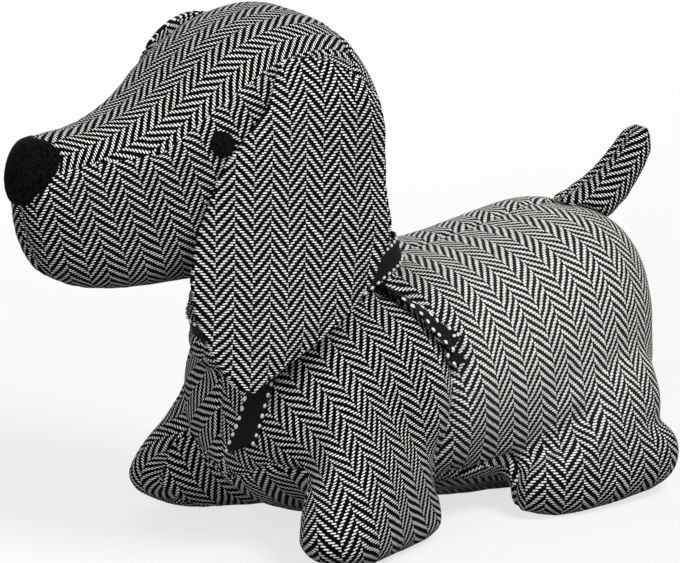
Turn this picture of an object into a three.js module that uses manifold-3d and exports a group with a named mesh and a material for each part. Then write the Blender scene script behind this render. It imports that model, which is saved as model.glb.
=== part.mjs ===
// Weighted fabric door stop in the form of a long-bodied, long-eared dog.
// Millimetres, +Z up. The dog looks along -X, and its left side is towards -Y.
// The origin is on the floor, in the flat patch that the heavy belly rests on.
import * as THREE from 'three';
import { mergeVertices } from 'three/addons/utils/BufferGeometryUtils.js';
import Module from 'manifold-3d';

const wasm = await Module();
wasm.setup();

// Clearance between pieces that touch
const seatGap = 0.3;

// Body, from chest to rump
const bodyX = -65.5;
const bodyLength = 240;
const bodyWidth = 120;
const backHeight = 136;
const flankHeight = 61.4;
const bellyDip = 2.6;

// Seams, as the stuffing draws them in
const seamDepth = 1.6;
const seamReach = 3.2;

// Feet, and how far they sink below the floor before the soles are cut flat
const footRise = 17;
const floorDip = 1.6;

// Front legs
const frontLegX = -140;
const frontLegOut = 52;
const frontFootLength = 99;
const frontFootWidth = 43;
const frontLegHeight = 102;
const frontSplay = 24;

// Hind legs
const hindLegX = -3.5;
const hindLegOut = 52;
const hindFootLength = 94;
const hindFootWidth = 44;
const hindLegHeight = 84;
const hindSplay = 0;

// Neck, a short oval one that leans forward, drawn in where the ribbon is tied
const neckX = -142;
const neckZ = 116.5;
const neckLean = 14.3;
const neckLength = 107;
const neckWidth = 74;
const neckFlare = 3;
const neckTaper = 0.85;
const neckReach = 28;

// Head, from the back of the skull to the end of the muzzle
const headBackX = -108;
const headLength = 188;
const headBottomZ = 134.4;
const headHeight = 120;
const headWidth = 100;

// Nose, a padded cap on the upper end of the muzzle
const noseLength = 32;
const noseWidth = 31;
const noseRise = 12;
const noseSink = 8;
const noseTilt = 26;
const noseTaper = 0.1;

// Eyes, flat felt discs
const eyeDiameter = 12.4;
const eyeThickness = 1.4;
const eyeX = -211;
const eyeZ = 203.2;

// Ears, flat padded leaves that hang from the crown seams. The right one stands a little
// higher, reaches further forward at its root and lies swept back.
const earThickness = 6;
const earRim = 1.6;
const earRootX = -155;
const earTopZ = 228;
const earLength = 148;
const earWidth = 100;
const earSwing = 22;
const earCrest = 7;
const earFlare = 0.1;
const rightEarLift = 13;
const rightEarReach = 22;
const rightEarSweep = 100;

// Tail
const tailLength = 64;
const tailRootRadius = 13;
const tailTipRadius = 8.5;
const tailInset = 33.5;
const tailDrop = 12.5;
const tailLift = 37.4;
const tailSag = 6.5;

// Ribbon tied round the neck, with two loose tails
const ribbonWidth = 12.5;
const ribbonThickness = 0.9;
const knotLength = 20;
const knotThickness = 7;
const knotTurn = 238;
const chestTail = [[-0.58, 0.68], [-0.54, 0.59], [-0.38, 0.475], [-0.26, 0.363]];
const shoulderTail = [[0.21, 62], [0.271, 66], [0.31, 58], [0.335, 46], [0.359, 34], [0.3825, 25]];

const deg = Math.PI / 180;

// Smooth line through stations: rows start with the station and go on with its values
function through(rows) {
  return (at) => {
    const last = rows.length - 1;
    let k = 0;
    while (k < last - 1 && at > rows[k + 1][0]) k += 1;
    const [a, b] = [rows[k], rows[k + 1]];
    const before = rows[Math.max(k - 1, 0)];
    const after = rows[Math.min(k + 2, last)];
    const span = b[0] - a[0];
    const u = Math.min(Math.max((at - a[0]) / span, 0), 1);
    return a.slice(1).map((value, i) => {
      const next = b[i + 1];
      const leave = (next - before[i + 1]) / (b[0] - before[0]) * span;
      const arrive = (after[i + 1] - value) / (after[0] - a[0]) * span;
      const d = next - value;
      return value + u * (leave + u * (3 * d - 2 * leave - arrive + u * (leave + arrive - 2 * d)));
    });
  };
}

// How far a rounded box reaches in the direction of an angle, for a half size of 1
function reach(angle, power) {
  return (Math.abs(Math.cos(angle)) ** power + Math.abs(Math.sin(angle)) ** power) ** (-1 / power);
}

// What is left of a half size at a share of the way to a rounded end
function rounded(share, power) {
  return (1 - Math.min(Math.abs(share), 1) ** power) ** (1 / power);
}

// Evenly spread shares from 0 to 1 that crowd together at both ends
function eased(count) {
  return Array.from({ length: count + 1 }, (_, i) => (1 - Math.cos(Math.PI * i / count)) / 2);
}

// Angles round a section, with close ones beside each seam
function ringAngles(count, seams, near) {
  const angles = Array.from({ length: count }, (_, i) => 360 * i / count);
  const kept = angles.filter((a) => seams.every((s) => Math.abs(a - s) > near * 1.4));
  seams.forEach((s) => kept.push(s - near, s, s + near));
  return kept.sort((a, b) => a - b).map((a) => a * deg);
}

// A closed body over rings of points, with a middle point at each end
function loft(rings) {
  const size = rings[0].length;
  const middle = (ring) => ring.reduce((sum, p) => sum.add(p), new THREE.Vector3()).divideScalar(size);
  const points = [...rings.flat(), middle(rings[0]), middle(rings.at(-1))];
  const index = [];
  for (let r = 0; r < rings.length - 1; r += 1) {
    for (let i = 0; i < size; i += 1) {
      const j = (i + 1) % size;
      const [a, b] = [r * size + i, r * size + j];
      index.push(a, b, b + size, a, b + size, a + size);
    }
  }
  const top = (rings.length - 1) * size;
  for (let i = 0; i < size; i += 1) {
    const j = (i + 1) % size;
    index.push(points.length - 2, j, i, points.length - 1, top + i, top + j);
  }
  const geometry = new THREE.BufferGeometry().setFromPoints(points);
  geometry.setIndex(index);
  return outward(geometry);
}

// Turns a closed geometry's faces to point out
function outward(geometry) {
  const p = geometry.attributes.position;
  const index = Array.from(geometry.index.array);
  const corner = (k) => new THREE.Vector3().fromBufferAttribute(p, index[k]);
  let volume = 0;
  for (let k = 0; k < index.length; k += 3) {
    volume += corner(k).dot(corner(k + 1).cross(corner(k + 2)));
  }
  if (volume < 0) {
    index.reverse();
    geometry.setIndex(index);
  }
  return geometry;
}

// A three.js geometry as a solid that can be joined and cut
function solid(geometry) {
  const bare = geometry.clone();
  bare.deleteAttribute('normal');
  bare.deleteAttribute('uv');
  const merged = outward(mergeVertices(bare, 1e-4));
  return new wasm.Manifold(new wasm.Mesh({
    numProp: 3,
    vertProperties: new Float32Array(merged.attributes.position.array),
    triVerts: new Uint32Array(merged.index.array),
  }));
}

// A solid as a three.js geometry
function toGeometry(shape) {
  const mesh = shape.getMesh();
  const geometry = new THREE.BufferGeometry();
  geometry.setAttribute('position', new THREE.BufferAttribute(new Float32Array(mesh.vertProperties), 3));
  geometry.setIndex(new THREE.BufferAttribute(new Uint32Array(mesh.triVerts), 1));
  return geometry;
}

// A box given by its lowest and highest corners
function boxBetween(low, high) {
  const size = new THREE.Vector3().subVectors(high, low);
  const box = new THREE.BoxGeometry(size.x, size.y, size.z);
  const middle = new THREE.Vector3().addVectors(low, high).multiplyScalar(0.5);
  return solid(box.translate(middle.x, middle.y, middle.z));
}

// Torso: sections along X as shares of the length. Rows give the back line as a share
// of the height, and how far the belly is off the floor.
const torsoForm = through([
  [0, 0.86, 10], [0.15, 0.865, 6], [0.27, 0.88, 4], [0.4, 0.906, 4.5], [0.54, 0.92, 4], [0.65, 0.944, 1.2],
  [0.72, 0.967, -bellyDip], [0.8, 0.995, -bellyDip], [0.88, 1.01, -bellyDip], [1, 1, -bellyDip],
]);

function torsoRing(share, grow, angles) {
  const along = 2 * share - 1;
  const x = bodyX + along * (bodyLength / 2 + grow);
  const [back, belly] = torsoForm(share);
  const width = (bodyWidth / 2) * rounded(along, 3.4) + grow;
  const top = (back * backHeight - flankHeight) * rounded(along, along < 0 ? 3.4 : 4.4) + grow;
  const bottom = (flankHeight - belly) * rounded(along, along < 0 ? 3.4 : 4.4) + grow;
  return angles.map((angle) => {
    const up = Math.sin(angle) > 0;
    const seam = Math.exp(-(((angle / deg - 90) * width * deg / seamReach) ** 2));
    const r = reach(angle, up ? 2.8 : 1.7) - (up ? seam * seamDepth / Math.max(top, 20) : 0);
    const y = width * r * Math.cos(angle);
    return new THREE.Vector3(x, y, flankHeight + (up ? top : bottom) * r * Math.sin(angle));
  });
}

function torso(grow = 0) {
  const angles = ringAngles(36, [90], 3.5);
  const shares = [0.0004, 0.0018, ...eased(22).slice(1, -1), 0.9982, 0.9996];
  return solid(loft(shares.map((share) => torsoRing(share, grow, angles))));
}

// Leg: level sections from the sole up into the body. Rows give the share of the height,
// the length and the width as shares of the foot's, and how far it moves in and back.
const frontLegForm = through([
  [0, 0.95, 1, 0, 7], [0.08, 1, 1, 0, 3], [0.16, 1, 1, 0, 0], [0.3, 0.93, 0.98, 2, 3], [0.42, 0.8, 0.95, 5, 6],
  [0.58, 0.72, 0.92, 11, 8], [0.8, 0.66, 0.78, 19, 8], [1, 0.5, 0.55, 30, 8],
]);
const hindLegForm = through([
  [0, 0.95, 1, 0, -6], [0.08, 1, 1, 0, -2], [0.18, 1, 1, 0, 0], [0.3, 0.95, 0.98, 1, 1], [0.48, 0.78, 0.9, 4, 4],
  [0.72, 0.67, 0.8, 9, 10], [1, 0.5, 0.6, 20, 10],
]);

function leg(form, side, x, out, length, width, height, splay, grow) {
  const turn = new THREE.Matrix4().makeRotationZ(side * -splay * deg);
  const rings = eased(15).map((share) => {
    const z = -floorDip + share * (height + floorDip);
    const [long, wide, inward, back] = form(Math.max(z / height, 0));
    const sole = rounded(Math.max(footRise - z, 0) / (footRise + floorDip), 2.2);
    return ringAngles(28, [], 0).map((angle) => {
      const r = reach(angle, 2.3) * Math.max(sole, 0.1);
      const point = new THREE.Vector3(
        (length / 2 * long * r / Math.max(sole, 0.1) ** 0.4 + grow) * Math.cos(angle),
        (width / 2 * wide * r + grow) * Math.sin(angle),
        0,
      );
      point.applyMatrix4(turn);
      return point.add(new THREE.Vector3(x + back, side * (out - inward), z));
    });
  });
  return solid(loft(rings));
}

// Neck: an upright oval column with sections that lean forward, given by the height
// above the tie, and the solid between two heights
function neckPoint(angle, height, grow) {
  const away = Math.abs(height) / ribbonWidth;
  const near = neckFlare * (away / 0.7) ** 2;
  const flare = grow + (away < 0.7 ? near : neckFlare - neckTaper * ribbonWidth * (away - 0.7));
  const x = (neckLength / 2 + flare) * Math.cos(angle);
  const y = (neckWidth / 2 + flare) * Math.sin(angle);
  const lean = neckLean * deg;
  const z = neckZ + x * Math.sin(lean) + height / Math.cos(lean);
  return new THREE.Vector3(neckX + x * Math.cos(lean), y, z);
}

function neck(from, to, grow = 0) {
  const steps = 6;
  const rings = Array.from({ length: steps + 1 }, (_, i) => {
    const height = from + (to - from) * i / steps;
    return ringAngles(36, [], 0).map((angle) => neckPoint(angle, height, grow));
  });
  return solid(loft(rings));
}

// Head: sections along the muzzle, as shares of the length from the muzzle's end.
// Rows give the crown and the jaw as shares of the height, and the width as a share.
const headForm = through([
  [0, 0.52, 0.38, 0.1], [0.025, 0.6, 0.2, 0.24], [0.08, 0.633, 0.085, 0.34], [0.18, 0.645, 0.025, 0.48],
  [0.29, 0.685, 0, 0.62], [0.36, 0.74, 0, 0.7], [0.44, 0.83, 0, 0.79], [0.54, 0.925, 0, 0.88],
  [0.65, 0.975, 0.01, 0.95], [0.78, 0.975, 0.045, 1], [0.88, 0.89, 0.12, 0.92], [0.96, 0.73, 0.25, 0.67],
  [1, 0.57, 0.42, 0.2],
]);
const crownSeam = 45;

function headSection(x, grow = 0) {
  const share = (x - (headBackX - headLength)) / headLength;
  const [crown, jaw, width] = headForm(share);
  return {
    middle: headBottomZ + headHeight * (crown + jaw) / 2,
    half: headHeight * (crown - jaw) / 2 + grow,
    wide: headWidth / 2 * width + grow,
  };
}

// Distance from the middle plane to the head's side at a place on it
function headSide(x, z) {
  const { middle, half, wide } = headSection(x);
  const lift = Math.min(Math.abs(z - middle) / half, 1);
  return wide * (1 - lift ** 2.6) ** (1 / 2.6);
}

function headLoft(grow = 0) {
  const angles = ringAngles(36, [crownSeam, 180 - crownSeam], 4);
  const front = headBackX - headLength;
  const rings = eased(26).map((share) => {
    const x = front - grow + share * (headLength + 2 * grow);
    const { middle, half, wide } = headSection(Math.min(Math.max(x, front), headBackX), grow);
    return angles.map((angle) => {
      const turn = Math.min(Math.abs(angle / deg - crownSeam), Math.abs(angle / deg - 180 + crownSeam));
      const seam = Math.exp(-((turn * wide * deg / seamReach) ** 2)) * seamDepth / Math.max(wide, 20);
      const r = reach(angle, 2.6) - seam;
      return new THREE.Vector3(x, wide * r * Math.cos(angle), middle + half * r * Math.sin(angle));
    });
  });
  return solid(loft(rings));
}

// Ear: rows from the crown seam to the tip, as shares of the length, with the front
// and rear edges as shares of half the width, before the ear swings about its root
const earForm = through([
  [0, -0.5, 0.5], [0.02, -0.52, 0.54], [0.07, -0.55, 0.6], [0.17, -0.6, 0.7], [0.27, -0.73, 0.82],
  [0.38, -0.84, 0.94], [0.57, -0.85, 0.95], [0.72, -0.79, 0.72], [0.83, -0.63, 0.46], [0.93, -0.36, 0.22],
  [1, -0.1, 0.1],
]);

function ear(side, lift, forward, sweep) {
  const across = 9;
  const cos = Math.cos(earSwing * deg);
  const sin = Math.sin(earSwing * deg);
  const rings = eased(18).map((share) => {
    const [front, rear] = earForm(share);
    const down = share * earLength;
    const end = rounded(2 * share - 1, 6);
    const skin = [];
    for (const face of [1, -1]) {
      for (let i = 0; i <= across; i += 1) {
        const t = face * (2 * i / across - 1);
        const over = earWidth / 2 * (front + (rear - front) * (t + 1) / 2);
        const hang = earRootX + over * cos - down * sin;
        const toward = (1 - t) / 2;
        const reached = forward * (1 - share) ** 4;
        const x = hang + sweep * share ** 2 - reached * toward;
        const crest = earCrest * (1 - t ** 2) * (1 - share) ** 3;
        const raised = crest + lift * (1 - share) - reached * toward ** 2;
        const z = earTopZ + raised - down * cos - over * sin;
        const half = (earRim + (earThickness - earRim) * end * (1 - t ** 4)) / 2;
        const widest = headSection(x).middle;
        const level = Math.min(Math.max(z, widest), earTopZ + (lift ? 0 : earCrest));
        const lie = headSide(Math.min(x, headBackX - 0.22 * headLength), level);
        const y = lie + seatGap + earThickness / 2 + earFlare * Math.max(widest - z, 0) + face * half;
        skin.push(new THREE.Vector3(x, side * y, z));
      }
    }
    return skin;
  });
  return solid(loft(rings));
}

// Nose: the half of a padded oval that stands out of the muzzle's end
function nose() {
  const oval = new THREE.SphereGeometry(1, 28, 18).rotateZ(90 * deg).rotateX(90 * deg);
  const points = oval.attributes.position;
  for (let i = 0; i < points.count; i += 1) {
    const [x, y, z] = [points.getX(i), points.getY(i), points.getZ(i)];
    const turn = Math.atan2(z, y);
    const square = reach(turn, 2.5) * (1 + noseTaper * z);
    points.setXYZ(i, noseRise * x, noseWidth / 2 * y * square, noseLength / 2 * z * reach(turn, 2.5));
  }
  oval.rotateY(noseTilt * deg);
  oval.translate(headBackX - headLength + noseSink, 0, headBottomZ + headHeight * 0.505);
  return solid(oval).subtract(headLoft(seatGap));
}

// Eye: a disc that lies on the curved side of the head
function eye(side) {
  const edge = eyeDiameter / 2;
  const outline = [
    [0.4, 0], [0.75, 0], [1, 0], [1, 0.6], [0.92, 0.9], [0.7, 1], [0.35, 1],
  ];
  const rings = outline.map(([size, lift]) => ringAngles(24, [], 0).map((angle) => {
    const x = eyeX + edge * size * Math.cos(angle);
    const z = eyeZ + edge * size * Math.sin(angle);
    return new THREE.Vector3(x, side * (headSide(x, z) + seatGap + lift * eyeThickness), z);
  }));
  return solid(loft(rings));
}

// Tail: round sections along a rising line, cut where it meets the body
function tail() {
  const rise = new THREE.Vector3(Math.cos(tailLift * deg), 0, Math.sin(tailLift * deg));
  const lateral = new THREE.Vector3(0, 1, 0);
  const under = new THREE.Vector3().crossVectors(lateral, rise);
  const root = new THREE.Vector3(bodyX + bodyLength / 2 - tailInset, 0, backHeight - tailDrop);
  const rings = eased(14).slice(0, -1).map((share) => {
    const end = share > 0.8 ? rounded((share - 0.8) / 0.2, 2) : 1;
    const radius = THREE.MathUtils.lerp(tailRootRadius, tailTipRadius, share) * end;
    const middle = root.clone().addScaledVector(rise, share * tailLength);
    middle.addScaledVector(under, tailSag * Math.sin(Math.PI * share));
    return ringAngles(20, [], 0).map((angle) => middle.clone()
      .addScaledVector(lateral, radius * Math.cos(angle))
      .addScaledVector(under, radius * Math.sin(angle)));
  });
  return solid(loft(rings)).subtract(torso(seatGap));
}

// Whole body: torso, neck and legs sewn in one, before it stands flat on the floor
function stuffedBody(grow = 0) {
  let shape = torso(grow).add(neck(-neckReach, -seatGap / 2, grow));
  for (const side of [-1, 1]) {
    shape = shape.add(leg(frontLegForm, side, frontLegX, frontLegOut, frontFootLength, frontFootWidth,
      frontLegHeight, frontSplay, grow));
    shape = shape.add(leg(hindLegForm, side, hindLegX, hindLegOut, hindFootLength, hindFootWidth,
      hindLegHeight, hindSplay, grow));
  }
  return shape;
}

function body() {
  const room = 2 * bodyLength;
  const aboveFloor = boxBetween(new THREE.Vector3(-room, -room, 0), new THREE.Vector3(room, room, room));
  return stuffedBody().intersect(aboveFloor);
}

function head() {
  return headLoft().add(neck(seatGap / 2, neckReach));
}

// A part with its own name and cloth
function piece(name, shape, color, roughness) {
  const material = new THREE.MeshStandardMaterial({ color, roughness, metalness: 0 });
  const mesh = new THREE.Mesh(toGeometry(shape), material);
  mesh.name = name;
  return mesh;
}

const tweed = 0x6e6d6b;
const tweedShade = 0x626160;
const felt = 0x0d0d0e;
const grosgrain = 0x111112;

const bodyMesh = piece('body', body(), tweed, 0.95);

// Ribbon tail: a strip from the knot that lies on the body. Each of its rays goes from
// a point outside the body to one inside it.
function laidStrip(start, rays) {
  const ray = new THREE.Raycaster();
  const lift = seatGap + ribbonThickness / 2 + 0.4;
  const laid = rays.map(([from, to]) => {
    const direction = new THREE.Vector3().subVectors(to, from).normalize();
    ray.set(from, direction);
    const hit = ray.intersectObject(bodyMesh)[0].point;
    return hit.addScaledVector(direction, -lift);
  });
  const path = new THREE.CatmullRomCurve3([start, ...laid]);
  const inside = rays.at(-1)[1];
  const count = 14;
  const rings = path.getSpacedPoints(count).map((middle, i) => {
    const along = path.getTangentAt(i / count);
    const out = new THREE.Vector3().subVectors(middle, inside).normalize();
    const wide = new THREE.Vector3().crossVectors(along, out).normalize();
    const normal = new THREE.Vector3().crossVectors(wide, along).normalize();
    return [[-1, -1], [0, -1], [1, -1], [1, 1], [0, 1], [-1, 1]].map(([w, n]) => middle.clone()
      .addScaledVector(wide, w * ribbonWidth / 2)
      .addScaledVector(normal, n * ribbonThickness / 2));
  });
  return solid(loft(rings));
}

// Chest tail: rays towards the chest at shares of the half width and of the height
function chestRay([across, up]) {
  const y = across * bodyWidth / 2;
  const z = up * backHeight;
  return [new THREE.Vector3(bodyX - bodyLength, y, z), new THREE.Vector3(bodyX, y, z)];
}

// Shoulder tail: rays towards the middle line of the body at shares of its length and
// at a turn up from the left side
function shoulderRay([share, turn]) {
  const x = bodyX + (share - 0.5) * bodyLength;
  const far = new THREE.Vector3(
    x,
    -bodyWidth * Math.cos(turn * deg),
    flankHeight + bodyWidth * Math.sin(turn * deg),
  );
  return [far, new THREE.Vector3(x, 0, flankHeight)];
}

// Ribbon: the band round the neck, a flat knot on its left side and the two tails
function ribbon() {
  const half = ribbonWidth / 2;
  const neckRoom = neck(-2 * half, 2 * half, seatGap);
  const band = neck(-half, half, seatGap + ribbonThickness);
  const middle = neckPoint(knotTurn * deg, 0, seatGap + knotThickness / 2);
  const knot = new THREE.SphereGeometry(0.5, 20, 12).scale(knotLength, knotThickness, ribbonWidth * 1.15);
  knot.rotateZ((knotTurn - 270) * deg).rotateY(-neckLean * deg);
  knot.translate(middle.x, middle.y, middle.z);
  const chest = laidStrip(middle, chestTail.map(chestRay));
  const shoulder = laidStrip(middle, shoulderTail.map(shoulderRay));
  const tied = band.add(solid(knot)).add(chest).add(shoulder);
  return tied.subtract(neckRoom).subtract(stuffedBody(seatGap));
}

const doorStop = new THREE.Group();
doorStop.add(bodyMesh);
doorStop.add(piece('head', head(), tweed, 0.95));
doorStop.add(piece('nose', nose(), felt, 0.9));
doorStop.add(piece('tail', tail(), tweedShade, 0.95));
doorStop.add(piece('ribbon', ribbon(), grosgrain, 0.6));
for (const [name, side] of [['left', -1], ['right', 1]]) {
  const right = (side + 1) / 2;
  const cloth = ear(side, rightEarLift * right, rightEarReach * right, rightEarSweep * right);
  doorStop.add(piece(`ear_${name}`, cloth, tweed, 0.95));
  doorStop.add(piece(`eye_${name}`, eye(side), felt, 0.9));
}

export default doorStop;
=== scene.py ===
"""Looks of a weighted door stop: a long-bodied dog sewn from herringbone tweed."""

import math
from functools import partial

import bmesh
import bpy
import numpy as np
from bpy.props import FloatProperty, FloatVectorProperty, IntProperty, PointerProperty
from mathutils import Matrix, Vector, noise
from mathutils.bvhtree import BVHTree
from mathutils.kdtree import KDTree


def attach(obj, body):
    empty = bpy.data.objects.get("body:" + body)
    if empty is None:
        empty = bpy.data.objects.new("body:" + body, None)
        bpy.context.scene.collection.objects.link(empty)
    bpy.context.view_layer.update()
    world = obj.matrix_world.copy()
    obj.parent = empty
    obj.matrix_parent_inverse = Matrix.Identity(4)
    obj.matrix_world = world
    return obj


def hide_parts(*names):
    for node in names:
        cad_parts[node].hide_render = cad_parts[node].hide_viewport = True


bl_info = {
    "name": "Tweed dog door stop",
    "version": (1, 0, 0),
    "blender": (4, 5, 0),
    "location": "3D View > Sidebar > Door stop",
    "description": "Builds the cloth, felt and ribbon of a weighted door stop round its frame",
    "category": "Object",
}

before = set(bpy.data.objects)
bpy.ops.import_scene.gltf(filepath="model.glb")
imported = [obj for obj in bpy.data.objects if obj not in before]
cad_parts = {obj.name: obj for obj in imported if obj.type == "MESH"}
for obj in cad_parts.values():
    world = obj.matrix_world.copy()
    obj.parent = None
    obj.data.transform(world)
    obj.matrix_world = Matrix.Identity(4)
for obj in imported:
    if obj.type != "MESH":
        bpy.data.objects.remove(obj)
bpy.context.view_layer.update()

MM = 0.001
# Warp ends between two turns of the zigzag, and picks in one repeat of the twill
ENDS_IN_ARM, TWILL_REPEAT = 8, 4


def linear(code):
    """An sRGB hex colour as the linear RGBA that Blender's sockets take."""
    parts = [int(code[i:i + 2], 16) / 255 for i in (1, 3, 5)]
    return [c / 12.92 if c <= 0.04045 else ((c + 0.055) / 1.055) ** 2.4 for c in parts] + [1]


def colour_setting(name, code, description):
    return FloatVectorProperty(
        name=name, description=description, subtype="COLOR", size=4, min=0, max=1, default=linear(code))


def number_setting(name, value, description):
    return FloatProperty(name=name, description=description, default=value)


def length_setting(name, value, description):
    return FloatProperty(
        name=name, description=description, default=value * MM, unit="LENGTH", precision=5)


class TweedSettings(bpy.types.PropertyGroup):
    end_pitch: length_setting("End pitch", 1.08, "Distance between two warp ends")
    pick_pitch: length_setting("Pick pitch", 1.23, "Distance between two weft picks")
    weft: colour_setting("Weft", "#F0EEEA", "Pale wool yarn of the weft")
    warp: colour_setting("Warp", "#050506", "Dark wool yarn of the warp")
    cover: number_setting("Weft cover", 1.06, "How far a weft float spreads over its two ends")
    slimness: number_setting("Weft slimness", 3.85, "How slim a weft float is in its pick")
    # The weft fullness widens the floats where the cloth is stretched and where a sheen is painted over the
    # upper body
    fullness: number_setting("Weft fullness", 1.6, "Slimness lost where the cloth is stretched")
    slant: number_setting("Weft slant", -0.09, "How far a weft float tilts against the twill")
    relief: length_setting("Relief", 0.32, "How far the yarns stand out of the cloth")


class StuffingSettings(bpy.types.PropertyGroup):
    voxel: length_setting("Cloth grid", 5.2, "Size of the grid on which the cloth is inflated")
    fine_voxel: length_setting("Small cloth grid", 4.0, "The same for the head")
    swell: length_setting("Swell", 4, "The furthest that the filling pushes the cloth")
    frames: IntProperty(name="Frames", description="Steps of the inflation", default=20)
    groove: length_setting("Seam groove", 1.5, "How far a seam sinks in")
    groove_width: length_setting("Seam groove width", 2.2, "How wide a seam's groove is")
    pucker: length_setting("Pucker", 0.75, "Height of the gathers along a seam")
    pucker_reach: length_setting("Pucker reach", 9, "How far the gathers run from a seam")
    lumps: length_setting("Lumps", 0.9, "How uneven the filling is")


class TrimSettings(bpy.types.PropertyGroup):
    ribbon: colour_setting("Ribbon", "#060607", "Black of the grosgrain ribbon")
    thread: colour_setting("Thread", "#EDEBE6", "White of the ribbon's saddle stitches")
    felt: colour_setting("Felt", "#060607", "Black of the nose and the eyes")
    ribbon_width: length_setting("Ribbon width", 12.5, "Width of the ribbon")
    ribbon_thickness: length_setting("Ribbon thickness", 0.8, "Thickness of the ribbon")
    rib_pitch: length_setting("Rib pitch", 0.93, "Distance between the ribbon's cross ribs")
    stitch_pitch: length_setting("Stitch pitch", 4.9, "Distance between two stitches")
    stitch_length: length_setting("Stitch length", 2.5, "Length of a stitch that shows")
    stitch_thickness: length_setting("Stitch thickness", 1.7, "Thickness of the stitching thread")
    stitch_inset: length_setting("Stitch inset", 0.8, "From the ribbon's edge to a row of stitches")


def tweed():
    return bpy.context.scene.tweed_dog_cloth


def stuffing():
    return bpy.context.scene.tweed_dog_stuffing


def trim():
    return bpy.context.scene.tweed_dog_trim


def put(thing, **settings):
    """Sets properties of a modifier, a node, a lamp or the like, and gives it back."""
    for key, value in settings.items():
        setattr(thing, key, value)
    return thing


def along(rows):
    """A function of one number through (number, value) rows."""
    xs, ys = zip(*rows)
    return lambda x: float(np.interp(x, xs, ys))


def ramp(value, start, end):
    """0 up to the start, 1 from the end on, even in between."""
    return np.clip((value - start) / (end - start), 0, 1)


# Meshes

def vectors_of(piece, key):
    out = np.empty(len(piece.data.vertices) * 3)
    piece.data.vertices.foreach_get(key, out)
    return out.reshape(-1, 3)


points_of = partial(vectors_of, key="co")
normals_of = partial(vectors_of, key="normal")


def move_points(piece, co):
    piece.data.vertices.foreach_set("co", np.asarray(co, np.float32).ravel())
    piece.data.update()


def push_out(piece, rise):
    """Moves each point along its normal."""
    move_points(piece, points_of(piece) + normals_of(piece) * np.asarray(rise)[:, None])


def new_object(name, mesh):
    piece = bpy.data.objects.new(name, mesh)
    bpy.context.scene.collection.objects.link(piece)
    return piece


def object_from(bm, name):
    mesh = bpy.data.meshes.new(name)
    bm.to_mesh(mesh)
    bm.free()
    return new_object(name, mesh)


def merged_copy(node, name):
    """A CAD node's solid as one welded mesh in a new object."""
    bm = bmesh.new()
    bm.from_mesh(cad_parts[node].data)
    bmesh.ops.remove_doubles(bm, verts=bm.verts, dist=0.02 * MM)
    bmesh.ops.dissolve_degenerate(bm, edges=bm.edges, dist=0.01 * MM)
    return object_from(bm, name)


def modify(piece, kind, **settings):
    return put(piece.modifiers.new(kind.lower(), kind), **settings)


def bake_modifiers(piece):
    """Replaces a piece's mesh by the one its modifiers make."""
    graph = bpy.context.evaluated_depsgraph_get()
    made = bpy.data.meshes.new_from_object(piece.evaluated_get(graph))
    piece.modifiers.clear()
    old = piece.data
    made.name = piece.name
    piece.data = made
    bpy.data.meshes.remove(old)


def remesh(piece, voxel, smoothing):
    modify(piece, "REMESH", mode="VOXEL", voxel_size=voxel)
    modify(piece, "SMOOTH", factor=0.5, iterations=smoothing)
    bake_modifiers(piece)


def subdivide(piece, levels):
    modify(piece, "SUBSURF", levels=levels, render_levels=levels, uv_smooth="PRESERVE_BOUNDARIES")
    bake_modifiers(piece)


def tree_of(piece):
    piece.data.calc_loop_triangles()
    return BVHTree.FromPolygons(
        [tuple(p) for p in points_of(piece)], [tuple(t.vertices) for t in piece.data.loop_triangles])


def eased_over(piece, values, rounds):
    """Values of the points, each drawn towards its neighbours' mean a number of times."""
    ends = np.empty(len(piece.data.edges) * 2, np.int64)
    piece.data.edges.foreach_get("vertices", ends)
    a, b = ends[::2], ends[1::2]
    count = np.bincount(ends, minlength=len(values))
    for _ in range(rounds):
        around = np.bincount(a, values[b], len(values)) + np.bincount(b, values[a], len(values))
        values = (values + around / np.maximum(count, 1)) / 2
    return values


def fit_to(piece, solid, rounds):
    """Draws a skin back to its CAD surface, all of the way from inside and half from outside."""
    off = []
    for p in map(Vector, points_of(piece)):
        near, face_normal, _, gap = solid.find_nearest(p)
        off.append(gap if (p - near).dot(face_normal) > 0 else -gap)
    off = eased_over(piece, np.array(off), rounds)
    push_out(piece, -np.where(off < 0, off, 0.5 * off))


# The cover while it is filled: stiff along its yarns, easy to bend, pressed out from within
CLOTH = {
    "quality": 5, "mass": 0.3, "tension_stiffness": 12, "compression_stiffness": 12,
    "bending_stiffness": 1.5, "use_pressure": True, "uniform_pressure_force": 4,
}


def inflate(piece, shrink, swell):
    """Blows the cloth up from a slightly smaller shape, and caps how far each point goes."""
    co = points_of(piece) - normals_of(piece) * shrink
    move_points(piece, co)
    cloth = modify(piece, "CLOTH")
    put(cloth.settings, **CLOTH)
    cloth.settings.effector_weights.gravity = 0
    put(cloth.point_cache, frame_start=1, frame_end=stuffing().frames)
    scene = bpy.context.scene
    for step in range(1, stuffing().frames + 1):
        scene.frame_set(step)
    bake_modifiers(piece)
    scene.frame_set(1)
    moved = points_of(piece) - co
    far = np.linalg.norm(moved, axis=1)
    move_points(piece, co + moved * np.minimum(1, swell / np.maximum(far, 1e-9))[:, None])


# Panels of cloth: the skin is cut where its seams run, laid flat, and turned to the grain

# A point this share of an edge's length from a cut is moved onto it
SNAP = 0.2
# Faces nearest to a panel's given place, over which the way of its warp is averaged
GRAIN_FACES = 60
SEAM_STEP = 1.2 * MM


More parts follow.
